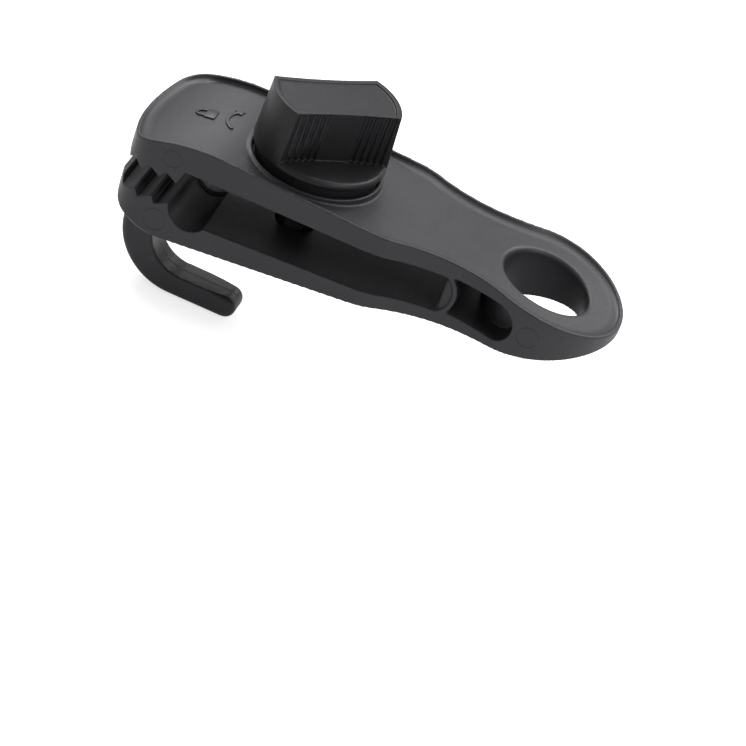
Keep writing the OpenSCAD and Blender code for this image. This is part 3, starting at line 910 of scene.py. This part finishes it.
def moulded_plastic(name, colour, worn, gloss, grain, mirror, mould_marks_and_eye_shade=False):
    """Black plastic: grain in the bump, uneven gloss, and edges that handling has greyed."""
    material, tree, shader = new_material(name)
    shader.inputs["Specular Tint"].default_value = COOL_TINT
    shader.inputs["Specular IOR Level"].default_value = mirror
    place = tree.nodes.new("ShaderNodeTexCoord").outputs["Object"]
    flow = noise(tree, place, FLOW_SCALE, detail=3)
    speck = noise(tree, place, GRAIN_SCALE, detail=2)
    edge = tree.nodes.new("ShaderNodeNewGeometry").outputs["Pointiness"]
    on_edge = ramp(tree, edge, WEAR_START, WEAR_FULL, 0, 1)
    wear = math_node(tree, "MULTIPLY", on_edge, ramp(tree, flow, 0.35, 0.7, 0.2, 1))
    blend = tree.nodes.new("ShaderNodeMix")
    blend.data_type = "RGBA"
    blend.inputs["A"].default_value = colour
    blend.inputs["B"].default_value = worn
    tree.links.new(wear, blend.inputs["Factor"])
    tree.links.new(blend.outputs["Result"], shader.inputs["Base Color"])
    uneven = ramp(tree, flow, 0.3, 0.7, gloss - GLOSS_FLOW, gloss + GLOSS_FLOW)
    rough = math_node(tree, "ADD", uneven, ramp(tree, speck, 0.3, 0.7, -GLOSS_GRAIN, GLOSS_GRAIN))
    tree.links.new(rough, shader.inputs["Roughness"])
    bump = node(tree, "ShaderNodeBump", Strength=grain, Distance=GRAIN_DEPTH)
    tree.links.new(speck, bump.inputs["Height"])
    tree.links.new(bump.outputs["Normal"], shader.inputs["Normal"])
    # Only the body gets the mould marks and the painted shade on the eye's wall, which mirrors less there
    # so that it looks darker.
    if mould_marks_and_eye_shade:
        tree.links.new(eye_painted_shade(tree, place, mirror), shader.inputs["Specular IOR Level"])
        grooves = node(tree, "ShaderNodeBump", Strength=LINE_STRENGTH, Distance=LINE_DEPTH)
        grooves.invert = True
        tree.links.new(mould_lines(tree, place), grooves.inputs["Height"])
        tree.links.new(bump.outputs["Normal"], grooves.inputs["Normal"])
        tree.links.new(grooves.outputs["Normal"], shader.inputs["Normal"])
    return material


BODY_BLACK, BODY_WORN = (0.02, 0.02, 0.022, 1), (0.044, 0.044, 0.047, 1)
KNOB_BLACK, KNOB_WORN = (0.011, 0.011, 0.012, 1), (0.03, 0.03, 0.032, 1)

body_plastic = moulded_plastic(
    "black body plastic", BODY_BLACK, BODY_WORN, gloss=0.43, grain=0.9, mirror=0.42, mould_marks_and_eye_shade=True
)
knob_plastic = moulded_plastic(
    "black knob plastic", KNOB_BLACK, KNOB_WORN, gloss=0.4, grain=0.9, mirror=0.26
)
print("Plastics:", body_plastic.name, "and", knob_plastic.name)

# %% Dark steel
STEEL_DARK, STEEL_RUBBED = (0.03, 0.03, 0.032, 1), (0.09, 0.09, 0.095, 1)
SPOT_SCALE, STEEL_GRAIN_SCALE, STEEL_GRAIN_DEPTH = 400, 1800, 0.0001


def dark_steel(name):
    """Blackened steel: a fine grain in the bump and rubbed brighter spots."""
    material, tree, shader = new_material(name)
    place = tree.nodes.new("ShaderNodeTexCoord").outputs["Object"]
    shader.inputs["Metallic"].default_value = 1.0
    spots = noise(tree, place, SPOT_SCALE, detail=4)
    tone = tree.nodes.new("ShaderNodeValToRGB")
    tone.color_ramp.elements[0].color = STEEL_DARK
    tone.color_ramp.elements[1].color = STEEL_RUBBED
    tree.links.new(spots, tone.inputs["Fac"])
    tree.links.new(tone.outputs["Color"], shader.inputs["Base Color"])
    tree.links.new(ramp(tree, spots, 0.3, 0.7, 0.35, 0.5), shader.inputs["Roughness"])
    bump = node(tree, "ShaderNodeBump", Strength=0.3, Distance=STEEL_GRAIN_DEPTH)
    tree.links.new(noise(tree, place, STEEL_GRAIN_SCALE, detail=2), bump.inputs["Height"])
    tree.links.new(bump.outputs["Normal"], shader.inputs["Normal"])
    return material


steel = dark_steel("black steel")
print("Metal:", steel.name)


# %% Give each piece its finish
def paint(obj, material):
    obj.data.materials.clear()
    obj.data.materials.append(material)


for piece in [upper_skin, lower_skin] + marks:
    paint(piece, body_plastic)
paint(knob, knob_plastic)
for name in ("clamp_screw", "thrust_washer", "retaining_clip", "clamp_nut", "stop_ring"):
    paint(nodes[name], steel)
    print("Steel piece:", name)

# %% [markdown]
# ## Floor, light and camera
#
# The picture has a white ground. A wide pale floor fills it. Black plastic shows little of its own
# colour and mostly mirrors what is round it: the upright sides mirror the floor in front, and the
# dished top mirrors two large lamps behind and above, one to each side, so that its bowed front and its
# tail are equally light. A smaller lamp from the right draws the ribs and edges. The floor gives the
# camera and mirrored rays some light of its own and stays white, while little stray light gets into
# the gap, and a faint shadow remains. The hook's lowest point is just clear of the floor. The camera
# looks along the fitted direction of the photograph, rolled so that the clip slopes down to the right.

# %% Floor and light
FLOOR_GLOW, MIRROR_GLOW, WORLD_LIGHT = 0.7, 0.25, 0.45
FLOOR_SIZE, FLOOR_GAP, FLOOR_GREY = 6.0, 0.3, (0.65, 0.65, 0.65, 1)

clear_selection()
bpy.ops.mesh.primitive_plane_add(size=FLOOR_SIZE, location=in_frame(0, 0, HOOK_LOW - FLOOR_GAP))
floor = bpy.context.object
floor.name = "floor"
white, tree, shader = new_material("white floor")
shader.inputs["Base Color"].default_value = FLOOR_GREY
shader.inputs["Roughness"].default_value = 0.9
shader.inputs["Specular IOR Level"].default_value = 0.0
shader.inputs["Emission Color"].default_value = (1, 1, 1, 1)
path = tree.nodes.new("ShaderNodeLightPath")
mirrored = math_node(tree, "MAXIMUM", path.outputs["Is Glossy Ray"], path.outputs["Is Transmission Ray"])
seen = math_node(tree, "MULTIPLY", path.outputs["Is Camera Ray"], FLOOR_GLOW)
glow = math_node(tree, "ADD", seen, math_node(tree, "MULTIPLY", mirrored, MIRROR_GLOW))
tree.links.new(glow, shader.inputs["Emission Strength"])
paint(floor, white)

world = bpy.data.worlds.new("studio")
bpy.context.scene.world = world
world.use_nodes = True
sky = world.node_tree.nodes["Background"]
sky.inputs["Color"].default_value = (1, 1, 1, 1)
sky.inputs["Strength"].default_value = WORLD_LIGHT


def soft_lamp(name, place, target, size, power):
    clear_selection()
    bpy.ops.object.light_add(type="AREA", location=place)
    lamp = bpy.context.object
    lamp.name = name
    lamp.data.shape = "SQUARE"
    lamp.data.size = size
    lamp.data.energy = power
    lamp.rotation_euler = (Vector(target) - Vector(place)).to_track_quat("-Z", "Y").to_euler()
    return lamp


middle = (cad_box[0] + cad_box[1]) / 2
soft_lamp("left back lamp", (-0.5, 0.62, 0.88), middle, size=0.8, power=10)
soft_lamp("right back lamp", (0.4, 0.62, 0.88), middle, size=0.8, power=9.5)
soft_lamp("right lamp", (0.7, -0.35, 0.7), middle, size=0.35, power=4)

# %% Camera
AZIMUTH, ELEVATION, ROLL = math.radians(-6.6), math.radians(32.68), math.radians(20.3)
CAMERA_PLACE = Vector((0.05746, -0.74149, 0.44422))
FOCAL_PX, IMAGE_PX, SENSOR_MM = 3995.5, 746, 36.0

level_look = Vector((math.sin(AZIMUTH), math.cos(AZIMUTH), 0))
look = level_look * math.cos(ELEVATION) - Vector((0, 0, math.sin(ELEVATION)))
level_right = look.cross(Vector((0, 0, 1))).normalized()
level_up = level_right.cross(look)
right = level_right * math.cos(ROLL) + level_up * math.sin(ROLL)
up = level_up * math.cos(ROLL) - level_right * math.sin(ROLL)
turn = Matrix((right, up, -look)).transposed().to_4x4()

camera_data = bpy.data.cameras.new("camera")
camera_data.sensor_width = SENSOR_MM
camera_data.lens = FOCAL_PX / IMAGE_PX * SENSOR_MM
camera = bpy.data.objects.new("camera", camera_data)
camera.matrix_world = Matrix.Translation(CAMERA_PLACE) @ turn
bpy.context.scene.collection.objects.link(camera)
bpy.context.scene.camera = camera
bpy.context.scene.view_settings.view_transform = "Standard"
print("Lens, in millimetres:", round(camera_data.lens, 1))
